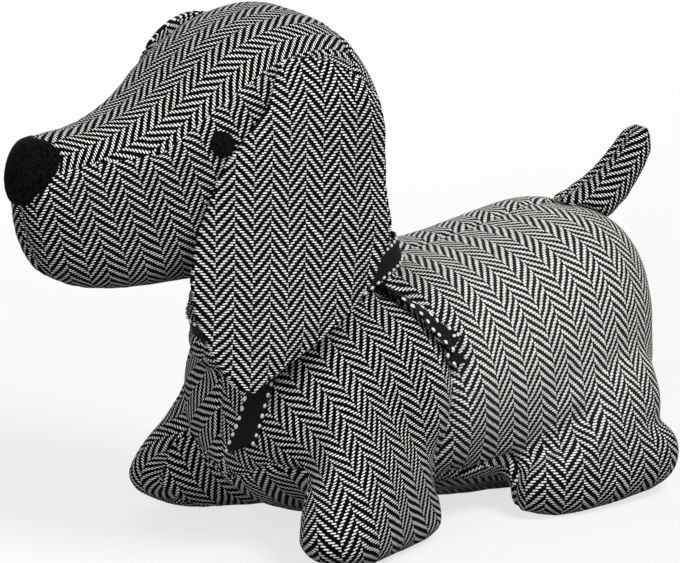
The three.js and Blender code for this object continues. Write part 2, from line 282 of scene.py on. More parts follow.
def cut_along(bm, field):
    """New edges where a field of the place is nought, with points that are close moved onto it."""
    value = {v: field(v.co) for v in bm.verts}
    for edge in bm.edges:
        a, b = edge.verts
        if value[a] * value[b] < 0:
            share = value[a] / (value[a] - value[b])
            if share < SNAP:
                a.co = a.co.lerp(b.co, share)
                value[a] = 0
            elif share > 1 - SNAP:
                b.co = a.co.lerp(b.co, share)
                value[b] = 0
    for edge in [e for e in bm.edges if value[e.verts[0]] * value[e.verts[1]] < 0]:
        a, b = edge.verts
        share = value[a] / (value[a] - value[b])
        value[bmesh.utils.edge_split(edge, a, share)[1]] = 0
    for face in list(bm.faces):
        on = [v for v in face.verts if value[v] == 0]
        if len(on) == 2 and not any(e.other_vert(on[0]) == on[1] for e in on[0].link_edges):
            bmesh.utils.face_split(face, on[0], on[1])


def cut_panels(piece, fields, panel_of):
    """Cuts the skin along the fields, marks the edges between panels as seams and unwraps it."""
    bm = bmesh.new()
    bm.from_mesh(piece.data)
    for field in fields:
        cut_along(bm, field)
    bm.faces.ensure_lookup_table()
    labels = [panel_of(f.calc_center_median()) for f in bm.faces]
    bm.faces.index_update()
    for edge in bm.edges:
        edge.seam = len({labels[f.index] for f in edge.link_faces}) > 1
    bm.to_mesh(piece.data)
    bm.free()
    piece.data.uv_layers.active = piece.data.uv_layers.new(name="weave")
    bpy.context.view_layer.objects.active = piece
    piece.select_set(True)
    bpy.ops.object.mode_set(mode="EDIT")
    bpy.ops.mesh.select_all(action="SELECT")
    bpy.ops.uv.unwrap(method="MINIMUM_STRETCH", iterations=20, margin=0)
    bpy.ops.object.mode_set(mode="OBJECT")
    piece.select_set(False)
    return labels


def islands_of(bm):
    """The skin's faces, panel by panel."""
    bm.faces.ensure_lookup_table()
    done = [False] * len(bm.faces)
    for start in bm.faces:
        if done[start.index]:
            continue
        island, queue = [], [start]
        done[start.index] = True
        while queue:
            face = queue.pop()
            island.append(face)
            for edge in face.edges:
                for other in () if edge.seam else edge.link_faces:
                    if not done[other.index]:
                        done[other.index] = True
                        queue.append(other)
        yield island


def flat_area(face, uv):
    flat = [loop[uv].uv for loop in face.loops]
    return abs(sum(
        flat[i - 1].x * flat[i].y - flat[i].x * flat[i - 1].y for i in range(len(flat)))) / 2


def flat_step(face, uv, direction):
    """Where a direction on a face's cloth points in the flat cut, as a complex number of length 1."""
    l0, l1, l2 = face.loops[0], face.loops[1], face.loops[2]
    e1, e2 = l1.vert.co - l0.vert.co, l2.vert.co - l0.vert.co
    gram = np.array([[e1.dot(e1), e1.dot(e2)], [e1.dot(e2), e2.dot(e2)]])
    if abs(np.linalg.det(gram)) < 1e-18:
        return 0
    a, b = np.linalg.solve(gram, [e1.dot(direction), e2.dot(direction)])
    step = (l1[uv].uv - l0[uv].uv) * a + (l2[uv].uv - l0[uv].uv) * b
    return complex(*step) / step.length if step.length > 0 else 0


def turn_to_grain(piece, labels, grains):
    """Scales each panel's flat cut to real lengths and turns it, so that v follows its warp.
    grains: panel name to (place in mm, direction of the warp there, scale of the weave)."""
    bm = bmesh.new()
    bm.from_mesh(piece.data)
    uv = bm.loops.layers.uv["weave"]
    for island in islands_of(bm):
        place, direction, scale = grains[labels[island[0].index]]
        place, direction = Vector(place) * MM, Vector(direction).normalized()
        near = sorted(island, key=lambda f: (f.calc_center_median() - place).length)[:GRAIN_FACES]
        solid = sum(f.calc_area() for f in island)
        flat = sum(flat_area(f, uv) for f in island)
        turn = sum((flat_step(f, uv, direction) for f in near), 0j)
        size = math.sqrt(solid / max(flat, 1e-12)) / scale
        spin = size * 1j / (turn / abs(turn)) if abs(turn) > 0 else size
        middle = sum((complex(*loop[uv].uv) for loop in near[0].loops), 0j) / len(near[0].loops)
        for face in island:
            for loop in face.loops:
                turned = (complex(*loop[uv].uv) - middle) * spin
                loop[uv].uv = (turned.real, turned.imag)
    bm.to_mesh(piece.data)
    bm.free()


def seam_points(mesh):
    """Points a millimetre or so apart along every edge that is marked as a seam."""
    out = []
    for edge in mesh.edges:
        if edge.use_seam:
            a, b = (mesh.vertices[i].co for i in edge.vertices)
            count = max(2, int((b - a).length / SEAM_STEP))
            out += [a.lerp(b, i / count) for i in range(count)]
    return out


def nearest_on(line, co):
    """How far each point is from a line of points, and where it is nearest."""
    tree = KDTree(len(line))
    for i, point in enumerate(line):
        tree.insert(point, i)
    tree.balance()
    found = [tree.find(p) for p in co]
    return np.array([f[2] for f in found]), [f[0] for f in found]


def smooth_line(points, step):
    """Points at even steps on a smooth curve through the given ones."""
    samples = 12
    key = [points[0] * 2 - points[1]] + list(points) + [points[-1] * 2 - points[-2]]
    dense = []
    for i in range(1, len(key) - 2):
        a, b, c, d = key[i - 1:i + 3]
        for t in (k / samples for k in range(samples)):
            dense.append(0.5 * (2 * b + (c - a) * t + (2 * a - 5 * b + 4 * c - d) * t * t
                                + (3 * b - a - 3 * c + d) * t ** 3))
    dense.append(points[-1].copy())
    run = np.concatenate([[0], np.cumsum([(b - a).length for a, b in zip(dense, dense[1:])])])
    flat = np.array([tuple(p) for p in dense])
    at = np.linspace(0, run[-1], max(2, int(round(run[-1] / step))) + 1)
    return [Vector([np.interp(s, run, flat[:, k]) for k in range(3)]) for s in at]


# Sizes of the gathers along a seam and of the lumps in the filling, coarse and fine
GATHERS, LUMPS = (5.5 * MM, 3 * MM), (34 * MM, 13 * MM)
# How close to a seam the gathers flatten, and over what length a crease fades out at its ends
SEAM_FLAT, CREASE_FADE = 1.5 * MM, 14 * MM


def sew(piece, seams, creases=(), bulges=(), lump=1.0, seed=0.0):
    """Sinks the seams, gathers the cloth along them, presses the creases and makes the filling uneven.
    creases: (points, depth, width and ridge height, in mm).
    bulges: (middle, reach and push, in mm), where the filling is packed tighter."""
    sizes = stuffing()
    co, normals = points_of(piece), normals_of(piece)
    shift = Vector((seed, 2.7 * seed, 1.3 * seed)) * MM
    far, at = nearest_on(seams, co)
    rise = -sizes.groove * np.exp(-(far / sizes.groove_width) ** 2)
    fold = np.zeros(len(co))
    for i in np.nonzero(far < 4 * sizes.pucker_reach)[0]:
        place = at[i] + shift
        fold[i] = noise.noise(place / GATHERS[0]) + 0.5 * noise.noise(place / GATHERS[1])
    edge = np.minimum(1, far / SEAM_FLAT)
    rise += sizes.pucker * fold * np.exp(-far / sizes.pucker_reach) * (0.35 + 0.65 * edge)
    for points, depth, width, ridge in creases:
        line = smooth_line([Vector(p) * MM for p in points], SEAM_STEP)
        far, at = nearest_on(line, co)
        ends = np.array([min((p - line[0]).length, (p - line[-1]).length) for p in at])
        fade = np.minimum(1, ends / CREASE_FADE)
        width *= MM
        rise -= depth * MM * np.exp(-(far / width) ** 2) * fade
        # The cloth that the crease presses out stands up beside it
        rise += ridge * MM * np.exp(-((far - 2.4 * width) / (1.3 * width)) ** 2) * fade
    for i, p in enumerate(co):
        place = Vector(p) + shift
        uneven = noise.noise(place / LUMPS[0]) + 0.35 * noise.noise(place / LUMPS[1])
        rise[i] += lump * sizes.lumps * uneven
    placed = co + normals * rise[:, None]
    for middle, reach, push in bulges:
        near = np.exp(-(np.linalg.norm(co / MM - middle, axis=1) / reach) ** 2)
        placed += near[:, None] * np.array(push) * MM
    move_points(piece, placed)


# Materials

def add(tree, kind, *inputs, **settings):
    """Adds a node with its settings, and fills or links its inputs, in order or from one dict. kind: a
    shader node's type without its prefix, or another's in full, and after a dot its operation. A node
    as an input stands for its first output."""
    kind, _, operation = kind.partition(".")
    node = tree.nodes.new(kind if "Node" in kind else "ShaderNode" + kind)
    if operation:
        node.operation = operation
    put(node, **settings)
    named = inputs[0] if inputs and isinstance(inputs[0], dict) else dict(enumerate(inputs))
    for key, value in named.items():
        if isinstance(value, bpy.types.Node):
            value = value.outputs[0]
        if isinstance(value, bpy.types.NodeSocket):
            tree.links.new(value, node.inputs[key])
        else:
            node.inputs[key].default_value = value
    return node


def lit(node, colour, light):
    """A colour with the same light added to its red, green and blue."""
    return node("VectorMath.ADD", tuple(colour)[:3], node("CombineXYZ", light, light, light))


def surface(node, colour, height, strength, distance, shader):
    """The end of a material: its relief, its shader with the shader's numbers, and the output."""
    bump = node("Bump", {"Height": height, "Strength": strength, "Distance": distance})
    node("OutputMaterial", node("BsdfPrincipled", {"Base Color": colour, "Normal": bump, **shader}))


def wool_herringbone_twill(node):
    """Wool-blend 2/2 herringbone twill: a pale weft floats over two dark ends, and the diagonal
    turns back every eight ends, which the eye sees as columns of slanting pale dashes."""
    sizes = tweed()
    uv = node("UVMap", uv_map="weave")
    # Hand-spun unevenness: the yarns wander by up to half of this, in waves of some 7 mm
    wander = 0.9 * MM
    cloud = node("TexNoise", {"Vector": uv, "Scale": 140.0, "Detail": 1.0}, noise_dimensions="2D")
    centred = node("VectorMath.SUBTRACT", cloud.outputs["Color"], (0.5, 0.5, 0.5))
    flat = node("SeparateXYZ", node("VectorMath.MULTIPLY_ADD", centred, (wander, wander, 0), uv))
    end = node("Math.DIVIDE", flat, sizes.end_pitch)
    pick = node("Math.DIVIDE", flat.outputs[1], sizes.pick_pitch)
    row = node("Math.FLOOR", pick)
    arm = node("Math.FLOOR", node("Math.DIVIDE", end, ENDS_IN_ARM))
    odd = node("Math.FLOORED_MODULO", arm, 2.0)
    inside = node("Math.FLOORED_MODULO", end, ENDS_IN_ARM)
    back = node("Math.SUBTRACT", ENDS_IN_ARM + TWILL_REPEAT // 2, inside)
    run = node("Math.ADD", node("Mix", {0: odd, 2: inside, 3: back}, data_type="FLOAT"), row)
    float_place = node("Math.FLOORED_MODULO", run, TWILL_REPEAT)
    # How far across the float, and how far across its pick: both are 1 at the float's edge
    tip = 0.55
    off_middle = node("Math.SUBTRACT", float_place, 1.0)
    across = node("Math.ABSOLUTE", off_middle)
    wrap = node("Math.MINIMUM", across, node("Math.SUBTRACT", TWILL_REPEAT, across))
    past = node("Math.MAXIMUM", node("Math.SUBTRACT", wrap, sizes.cover - tip), 0.0)
    ahead = node("Math.POWER", node("Math.DIVIDE", past, tip), 2.0)
    # A float tilts a little with its twill line. Above nought the attribute fills more of its pick, partly
    # for stretched cloth and partly as painted sheen; below nought it thins the floats as painted shade
    lean = node("Math.MULTIPLY", node("Math.MULTIPLY", off_middle, sizes.slant),
                node("Math.LESS_THAN", float_place, 3.0))
    stretch_and_painted_light = node("Attribute", attribute_name="stretch_and_painted_light").outputs["Fac"]
    slim = node("Math.MULTIPLY_ADD", stretch_and_painted_light, -sizes.fullness, sizes.slimness)
    in_pick = node("Math.SUBTRACT", node("Math.FRACT", pick), 0.5)
    aside = node("Math.MULTIPLY", node("Math.SUBTRACT", in_pick, lean), slim)
    edge = node("Math.SQRT", node("Math.ADD", ahead, node("Math.MULTIPLY", aside, aside)))
    pale = node("Math.MULTIPLY", node("Math.SUBTRACT", 1.08, edge), 4.5, use_clamp=True)
    # Each float of yarn has its own tone
    tone_at = node("CombineXYZ", node("Math.FLOOR", node("Math.DIVIDE", run, TWILL_REPEAT)), row, arm)
    tone = node("TexWhiteNoise", {"Vector": tone_at}, noise_dimensions="3D")
    fibre = node("TexNoise", {"Vector": uv, "Scale": 2600.0, "Detail": 2.0}, noise_dimensions="2D")
    shade = node("Math.MULTIPLY_ADD", tone, 0.22, node("Math.MULTIPLY_ADD", fibre, 0.3, 0.7))
    # Painted sheen: above nought the pale yarn is painted darker and the dark yarn lighter, a haze that
    # stands in for grazing light
    painted_sheen = node("Math.MAXIMUM", stretch_and_painted_light, 0.0)
    shade = node("Math.MULTIPLY", shade, node("Math.MULTIPLY_ADD", painted_sheen, -0.17, 1.0))
    fleck_and_sheen = node("Math.MULTIPLY", node("Math.SUBTRACT", fibre, 0.58), 0.06, use_clamp=True)
    fleck_and_sheen = node("Math.MULTIPLY_ADD", painted_sheen, 0.016, fleck_and_sheen)
    weft = node("VectorMath.SCALE", {0: tuple(sizes.weft)[:3], "Scale": shade})
    colour = node("Mix", {0: pale, 6: lit(node, sizes.warp, fleck_and_sheen), 7: weft}, data_type="RGBA").outputs[2]
    # Pale floats stand up as domes, and the dark ends between them as lower ones
    hollow = node("Math.SUBTRACT", 1.0, node("Math.MULTIPLY", edge, edge), use_clamp=True)
    end_dome = node("Math.SINE", node("Math.MULTIPLY", node("Math.FRACT", end), math.pi))
    relief = node("Math.MAXIMUM", node("Math.SQRT", hollow), node("Math.MULTIPLY", end_dome, 0.55))
    surface(node, colour, node("Math.MULTIPLY_ADD", fibre, 0.25, relief), 0.75, sizes.relief, {
        "Roughness": 0.9, "IOR": 1.5, "Specular IOR Level": 0.02, "Sheen Weight": 0.005,
        "Sheen Roughness": 0.4})


def pressed_wool_felt(node):
    """Pressed black wool felt: no weave, a dull matted surface with short fibres that catch light."""
    place = node("TexCoord").outputs["Object"]
    mat = node("TexNoise", {"Vector": place, "Scale": 620.0, "Detail": 4.0, "Roughness": 0.7})
    tuft = node("TexVoronoi", {"Vector": place, "Scale": 1500.0})
    light = node("Math.MULTIPLY_ADD", mat, 0.024, -0.0105)
    rough = node("Math.MULTIPLY_ADD", tuft, 0.6, mat)
    surface(node, lit(node, trim().felt, light), rough, 0.8, 0.2 * MM, {
        "Roughness": 0.95, "IOR": 1.5, "Specular IOR Level": 0.03, "Sheen Weight": 0.004,
        "Sheen Roughness": 0.4})


def polyester_grosgrain(node):
    """Black polyester grosgrain: fine cross ribs, with a painted highlight, a thin line of light added to
    the colour on each rib's crest.
    """
    sizes = trim()
    flat = node("SeparateXYZ", node("UVMap", uv_map="weave"))
    wave = node("Math.SINE", node("Math.MULTIPLY", flat.outputs[1], 2 * math.pi / sizes.rib_pitch))
    rib = node("Math.MULTIPLY_ADD", wave, 0.5, 0.5)
    yarn_pitch = 0.45 * MM
    yarn = node("Math.SINE", node("Math.MULTIPLY", flat, 2 * math.pi / yarn_pitch))
    # Painted highlight along each rib's crest
    painted_rib_highlight = node("Math.MULTIPLY", node("Math.POWER", rib, 3.0), 0.014)
    height = node("Math.MULTIPLY_ADD", yarn, 0.08, rib)
    surface(node, lit(node, sizes.ribbon, painted_rib_highlight), height, 0.8, 0.25 * MM, {
        "Roughness": 0.75, "IOR": 1.54, "Specular IOR Level": 0.06})


def polyester_sewing_thread(node):
    """White twisted polyester thread: soft gloss and a twist that shows as slanting shade."""
    place = node("TexCoord").outputs["Object"]
    twist = node("TexNoise", {"Vector": place, "Scale": 1800.0, "Detail": 2.0})
    shade = node("Math.MULTIPLY_ADD", twist, 0.3, 0.72)
    colour = node("VectorMath.SCALE", {0: tuple(trim().thread)[:3], "Scale": shade})
    surface(node, colour, twist, 0.5, 0.2 * MM, {"Roughness": 0.55, "IOR": 1.54})


def seamless_paper(node):
    """White seamless paper that throws only a little light back up, as the photo's underside is dark."""
    rays = node("LightPath")
    tint = node("Mix", {0: rays, 6: linear("#6C6C6C"), 7: linear("#E4E3E1")}, data_type="RGBA")
    paper = node("BsdfDiffuse", {"Color": tint.outputs[2]})
    white = node("Emission", {"Color": (1, 1, 1, 1), "Strength": 1.0})
    seen = node("Math.MAXIMUM", rays, rays.outputs["Is Glossy Ray"])
    node("OutputMaterial", node("MixShader", node("Math.MULTIPLY", seen, 0.72), paper, white))


def material_of(make):
    """The material of a function's name, which the function fills when it is first asked for."""
    material = bpy.data.materials.get(make.__name__)
    if material is None:
        material = bpy.data.materials.new(make.__name__)
        material.use_nodes = True
        material.node_tree.nodes.clear()
        make(partial(add, material.node_tree))
    return material


def dress(piece, make):
    piece.data.materials.clear()
    piece.data.materials.append(material_of(make))
    piece.data.polygons.foreach_set("use_smooth", [True] * len(piece.data.polygons))
    piece.data.update()


def finish_padded(piece, node, make, fill):
    dress(piece, make)
    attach(piece, "root")
    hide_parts(node)


def set_stretch_and_painted_light(piece, shares):
    """How far the cloth is stretched at each point, with a painted sheen on top of it; below nought the
    pale floats thin as painted shade.
    """
    stretch_and_painted_light = piece.data.attributes.new("stretch_and_painted_light", "FLOAT", "POINT")
    stretch_and_painted_light.data.foreach_set("value", np.asarray(shares, np.float32))


# The stuffed pieces: seams, panels and the way of the warp on each. Places are in mm.

# Where the shoulder seam runs on each flank: height and distance along the body
shoulder_at = along([
    (10, -95), (22, -96), (34, -97), (57.6, -93), (76, -91.2), (86.5, -93), (96, -98.6), (107.5, -104),
    (115, -110), (119, -118), (122, -100), (125, -80), (140, -80),
])
# How far out from the middle the seams of the underside gusset run, and how high, along the body
gusset_out = along([
    (-190, 53), (-175, 52), (-155, 50), (-130, 46), (-105, 42), (-75, 44), (-50, 48), (-3, 50),
    (30, 46), (60, 42),
])
gusset_top = along([
    (-170, 44), (-140, 46), (-100, 40), (-75, 26), (-55, 36), (-3, 44), (30, 36), (50, 24),
])
# The front seam of each front leg: height and distance out from the middle
front_seam = along([(0, 57), (10, 57), (32, 56), (39.5, 48), (44, 33), (48, 22)])
# Before this line the gusset runs up the chest: how high in the middle and towards the legs
CHEST_X = -150
chest_top = along([(0, 30), (29, 44)])
# How far to the right of the middle the seam lies on the back
SPINE_ASIDE = 6


def gusset_field(p):
    x, y, z = p.x / MM, abs(p.y) / MM, p.z / MM
    if x < CHEST_X:
        return max(y - min(gusset_out(x), front_seam(z)), z - chest_top(y))
    return max(y - gusset_out(x), z - gusset_top(x))


def spine_field(p):
    """Left of the body's middle seam is below nought."""
    on_back = ramp(p.z / MM, 108, 126) * ramp(p.x / MM, -118, -98)
    return p.y - SPINE_ASIDE * MM * float(on_back)


def shoulder_field(p):
    return p.x - shoulder_at(p.z / MM) * MM


def body_panel(p):
    if gusset_field(p) < 0:
        return "under"
    side = "left" if spine_field(p) < 0 else "right"
    return ("front_" if shoulder_field(p) < 0 else "flank_") + side


def mirrored(place, direction, scale):
    return (place[0], -place[1], place[2]), (direction[0], -direction[1], direction[2]), scale


flank_grain = ((-25, -60, 75), (-0.136, 0, 0.99), 1.0)
front_grain = ((-140, -58, 60), (-0.266, 0.2, 0.943), 1.0)
body_grains = {
    "under": ((-70, 0, 2), (1, 0, 0), 1.0),
    "flank_left": flank_grain, "flank_right": mirrored(*flank_grain),
    "front_left": front_grain, "front_right": mirrored(*front_grain),
}

# Crown gusset: distance along the head and half its width
crown_half = along([
    (-297, 9), (-291, 12), (-267, 18), (-253, 23), (-237, 28), (-224, 31), (-207, 34), (-192, 36),
    (-179, 37), (-155, 38), (-125, 38),
])
CROWN_END = -134
# The height below which the crown can't reach, and where the nape's panel starts at each height
head_middle = along([(-297, 192), (-270, 175), (-230, 180), (-190, 192), (-150, 196), (-108, 193)])
nape_at = along([(130, -128), (170, -138), (215, -140), (235, -136), (260, -134)])


def crown_field(p):
    x, y, z = p.x / MM, abs(p.y) / MM, p.z / MM
    return max(y - crown_half(x), head_middle(x) - z, x - CROWN_END)


def nape_field(p):
    return p.x - nape_at(p.z / MM) * MM


def head_panel(p):
    if crown_field(p) < 0:
        return "crown"
    if nape_field(p) > 0:
        return "nape"
    return "cheek_left" if p.y < 0 else "cheek_right"


cheek_grain = ((-240, -35, 180), (-0.273, 0.086, 0.958), 0.97)
head_grains = {
    "crown": ((-215, 0, 240), (1, 0, 0.45), 0.95),
    "nape": ((-112, 0, 200), (0, 0, 1), 1.0),
    "cheek_left": cheek_grain, "cheek_right": mirrored(*cheek_grain),
}

tail_grain = ((45, -10, 135), (0.75, 0, 0.66), 1.0)
tail_grains = {"left": tail_grain, "right": mirrored(*tail_grain)}


def both_sides(points, *sizes):
    """A crease on the left, and its twin on the right."""
    return [([(x, hand * y, z) for x, y, z in points], *sizes) for hand in (1, -1)]


# Creases: points, depth, width and the height of the ridge beside it
body_creases = [
    # The fold between the front leg and the flank
    *both_sides([(-93, -58, 92), (-91, -60, 76), (-93, -60, 57), (-97, -58, 38), (-96, -54, 20)],
                3.5, 6, 1.2),
    # The fold in which the ribbon's second tail lies
    ([(-122, -28, 124), (-110, -31, 120), (-104, -35, 116), (-100, -45, 111), (-96, -52, 104),
      (-91, -56, 97), (-89, -58, 87), (-90, -60, 78)], 3.8, 4, 0.3),
    # The flank hangs over each hind foot
    *both_sides([(-52, -44, 22), (-45, -51, 27), (-41, -56, 31), (-35, -60, 35), (-27, -62, 40),
                 (-17, -63, 46), (-4, -63, 54)], 5, 5, 2),
    # The notch between the rump and the heel
    *both_sides([(8, -69, 37), (22, -66, 36), (33, -61, 35), (42, -50, 36), (46, -38, 37)],
                2.2, 5, 0.8),
]
# Bulges: middle, reach and push. The heels, the low edge of each flank, and the belly.
body_bulges = [
    *(((-108, 50 * side, 8), 17, (6, 2 * side, 0)) for side in (-1, 1)),
    *(((36, 52 * side, 18), 17, (3.4, 0, 0)) for side in (-1, 1)),
    *(((-64, 46 * side, 15), 16, (0, 4 * side, -2.5)) for side in (-1, 1)),
    ((-40, 0, 5), 30, (0, 0, -3)),
]
# How far the soles and the belly stay off the floor
SOLE_CLEARANCE = 0.2 * MM


def filled_skin(node, voxel, shrink, swell, fits):
    """A CAD node's cover, filled and drawn back to its solid. fits: how far that is evened out."""
    piece = merged_copy(node, "stuffed_" + node)
    solid = tree_of(piece)
    remesh(piece, voxel, 4)
    for rounds in fits[:-1]:
        fit_to(piece, solid, rounds)
    inflate(piece, shrink, swell)
    fit_to(piece, solid, fits[-1])
    return piece


def tailor(piece, fields, panel_of, grains, levels):
    """Cuts the skin into panels, lays the weave on each, and gives the seams' points."""
    turn_to_grain(piece, cut_panels(piece, fields, panel_of), grains)
    seams = seam_points(piece.data)
    subdivide(piece, levels)
    return seams


class TWEED_OT_body(bpy.types.Operator):
    """Sews and fills the body with its neck and four legs"""
    bl_idname = "tweed_dog.body"
    bl_label = "Body"

    def execute(self, context):
        piece = filled_skin("body", stuffing().voxel, 1.5 * MM, stuffing().swell, (2, 6))
        seams = tailor(piece, [spine_field, gusset_field, shoulder_field], body_panel, body_grains, 2)
        sew(piece, seams, body_creases, body_bulges, seed=3.0)
        co = points_of(piece)
        co[:, 2] = np.maximum(co[:, 2], SOLE_CLEARANCE)
        move_points(piece, co)
        x, _, z = points_of(piece).T / MM
        # Painted sheen over the upper body behind the shoulders, where the floats also widen as the cloth
        # is stretched
        set_stretch_and_painted_light(piece, ramp(x, -112, -72) * ramp(z, 15, 65))
        finish_padded(piece, "body", wool_herringbone_twill, 0.85)
        return {"FINISHED"}


def ease_nape(piece):
    """Draws the back of the skull and the top of the neck into one line."""
    co = points_of(piece)
    x, _, z = co.T / MM
    above_tie = z - 116.5 - 0.255 * (x + 142)
    share = ramp(above_tie, 7, 15) * ramp(z, 178, 156) * ramp(x, -150, -130)
    soft = np.stack([eased_over(piece, co[:, k].copy(), 110) for k in range(3)], axis=1)
    move_points(piece, co + share[:, None] * (soft - co))


class TWEED_OT_head(bpy.types.Operator):
    """Sews and fills the head with its crown gusset"""
    bl_idname = "tweed_dog.head"
    bl_label = "Head"

    def execute(self, context):
        piece = filled_skin("head", stuffing().fine_voxel, 1.2 * MM, stuffing().swell, (2, 6))
        ease_nape(piece)
        seams = tailor(piece, [lambda p: p.y, crown_field, nape_field], head_panel, head_grains, 2)
        sew(piece, seams, seed=11.0, lump=0.8)
        # Painted shade: the pale floats on the front of the cheeks are drawn slimmer, which darkens them
        co = points_of(piece)
        cheek = ramp(np.array([crown_field(Vector(p)) for p in co]), 0, 4)
        set_stretch_and_painted_light(piece, -0.4 * cheek * ramp(co[:, 0] / MM, -150, -170))
        finish_padded(piece, "head", wool_herringbone_twill, 0.85)
        return {"FINISHED"}


class TWEED_OT_tail(bpy.types.Operator):
    """Sews and fills the tail"""
    bl_idname = "tweed_dog.tail"
    bl_label = "Tail"

    def execute(self, context):
        piece = filled_skin("tail", 2.6 * MM, 0.6 * MM, 1.5 * MM, (4,))
        seams = tailor(
            piece, [lambda p: p.y], lambda p: "left" if p.y < 0 else "right", tail_grains, 1)
        sew(piece, seams, seed=5.0, lump=0.5)
        # Painted shade: the whole tail's pale floats are drawn slimmer, which darkens it
        set_stretch_and_painted_light(piece, np.full(len(piece.data.vertices), -0.35))
        finish_padded(piece, "tail", wool_herringbone_twill, 0.8)
        return {"FINISHED"}


# Ear: rows from the crown seam to the tip, as shares of the length, with the front and
# rear edges as shares of half the width, before the ear swings about its root
ear_front = along([
    (0, -0.5), (0.02, -0.52), (0.07, -0.55), (0.17, -0.6), (0.27, -0.73), (0.38, -0.84), (0.57, -0.85),
    (0.72, -0.79), (0.83, -0.63), (0.93, -0.36), (1, -0.1),
])
ear_rear = along([
    (0, 0.5), (0.02, 0.54), (0.07, 0.6), (0.17, 0.7), (0.27, 0.82), (0.38, 0.94), (0.57, 0.95),
    (0.72, 0.72), (0.83, 0.46), (0.93, 0.22), (1, 0.1),
])
# How far the rear rim bellies out, in mm
ear_belly = along([
    (0, -2), (0.06, 0), (0.12, 2.5), (0.2, 2.5), (0.27, 1.2), (0.33, 3), (0.4, 5.2), (0.46, 4.8),
    (0.53, 2.2), (0.6, 0), (1, 0),
])
EAR_ROOT_X, EAR_TOP_Z, EAR_LENGTH, EAR_WIDTH = -155, 228, 148, 100
EAR_SWING, EAR_CREST = math.radians(22), 7
# Which side an ear is on, and how far it is lifted, reaches forward and sweeps back, in mm
EARS = {"ear_left": (-1, (0, 0, 0)), "ear_right": (1, (13, 22, 100))}
# The mesh's rows and columns, and how much of the solid its outermost ones leave out
EAR_ROWS, EAR_COLUMNS, EAR_END, EAR_RIM = 74, 44, 0.004, 0.985


def ear_place(share, t, lift, forward, sweep):
    """Where a point of the ear lies along and up, and in the flat cut, in mm. share: of the length;
    t: -1 at the front edge and 1 at the rear one."""
    over = EAR_WIDTH / 2 * (ear_front(share) + (ear_rear(share) - ear_front(share)) * (t + 1) / 2)
    down = share * EAR_LENGTH
    crest = EAR_CREST * (1 - t * t) * (1 - share) ** 3
    toward = (1 - t) / 2
    reached = forward * (1 - share) ** 4
    x = EAR_ROOT_X + over * math.cos(EAR_SWING) - down * math.sin(EAR_SWING)
    x += sweep * share ** 2 - reached * toward
    z = EAR_TOP_Z + crest + lift * (1 - share) - reached * toward ** 2
    z -= down * math.cos(EAR_SWING) + over * math.sin(EAR_SWING)
    return x, z, over, down


def ear_layer(solid, face, side, way):
    """Rows of places on one face of the CAD ear, each with its place in the flat cut."""
    grid = []
    for i in range(EAR_ROWS + 1):
        share = EAR_END + (1 - 2 * EAR_END) * (1 - math.cos(math.pi * i / EAR_ROWS)) / 2
        line = []
        for k in range(EAR_COLUMNS + 1):
            t = math.sin(math.pi / 2 * (2 * k / EAR_COLUMNS - 1)) * EAR_RIM
            x, z, over, down = ear_place(share, t, *way)
            # The outer face is met from outside, the inner one from the middle plane
            start = Vector((x * MM, side * (0.3 if face > 0 else 0.0), z * MM))
            hit = solid.ray_cast(start, Vector((0, -side * face, 0)))[0]
            if hit is None:
                hit = solid.find_nearest(Vector((x * MM, side * 0.05, z * MM)))[0]
            hit.x += ear_belly(share) * MM * max(0, t)
            line.append((hit, (over, -down)))
        grid.append(line)
    if side > 0:
        measure(grid)
    return grid


def measure(grid):
    """Places in the flat cut from lengths on the cloth, for an ear that curves away from its plane."""
    middle, down = len(grid[0]) // 2, 0.0
    for i, line in enumerate(grid):
        if i:
            down += (line[middle][0] - grid[i - 1][middle][0]).length / MM
        over = [0.0]
        for (a, _), (b, _) in zip(line, line[1:]):
            over.append(over[-1] + (b - a).length / MM)
        grid[i] = [(hit, (run - over[middle], -down)) for (hit, _), run in zip(line, over)]


def ear_piece(node, side, way):
    """Two layers of cloth sewn along the rim, on the two faces of the CAD ear."""
    solid = tree_of(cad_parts[node])
    layers = [ear_layer(solid, face, side, way) for face in (1, -1)]
    bm = bmesh.new()
    uv = bm.loops.layers.uv.new("weave")
    flat = {}
    for layer, grid in enumerate(layers):
        verts = []
        for i, line in enumerate(grid):
            verts.append([])
            for k, (hit, place) in enumerate(line):
                if i in (0, EAR_ROWS) or k in (0, EAR_COLUMNS):
                    hit = (layers[0][i][k][0] + layers[1][i][k][0]) / 2
                verts[i].append(bm.verts.new(hit))
                flat[verts[i][k]] = place
        for i in range(EAR_ROWS):
            for k in range(EAR_COLUMNS):
                quad = [verts[i][k], verts[i][k + 1], verts[i + 1][k + 1], verts[i + 1][k]]
                if (layer == 0) == (side > 0):
                    quad.reverse()
                for loop in bm.faces.new(quad).loops:
                    loop[uv].uv = Vector(flat[loop.vert]) * MM
    bmesh.ops.remove_doubles(bm, verts=bm.verts, dist=0.005 * MM)
    bmesh.ops.recalc_face_normals(bm, faces=bm.faces)
    return object_from(bm, "tweed_" + node)


def turn_ear_grain(piece):
    """The ear's columns hang nearly plumb, and its weave is a little finer than the body's."""
    uv = piece.data.uv_layers["weave"].data
    flat = np.empty(len(uv) * 2)
    uv.foreach_get("uv", flat)
    u, v = flat[::2], flat[1::2]
    off_plumb, finer = math.radians(5), 1.03
    cos, sin = math.cos(EAR_SWING - off_plumb), math.sin(EAR_SWING - off_plumb)
    out = np.stack([u * cos + v * sin, -u * sin + v * cos], axis=1)
    uv.foreach_set("uv", (out * finer).ravel())


def rim_of(way):
    """Places all round an ear's rim, in its plane."""
    at = [(i / 180, t) for i in range(181) for t in (-EAR_RIM, EAR_RIM)]
    at += [(1 - EAR_END, EAR_RIM * (i / 20 - 1)) for i in range(41)]
    places = (ear_place(share, t, *way) for share, t in at)
    return [Vector((x * MM, 0, z * MM)) for x, z, _, _ in places]


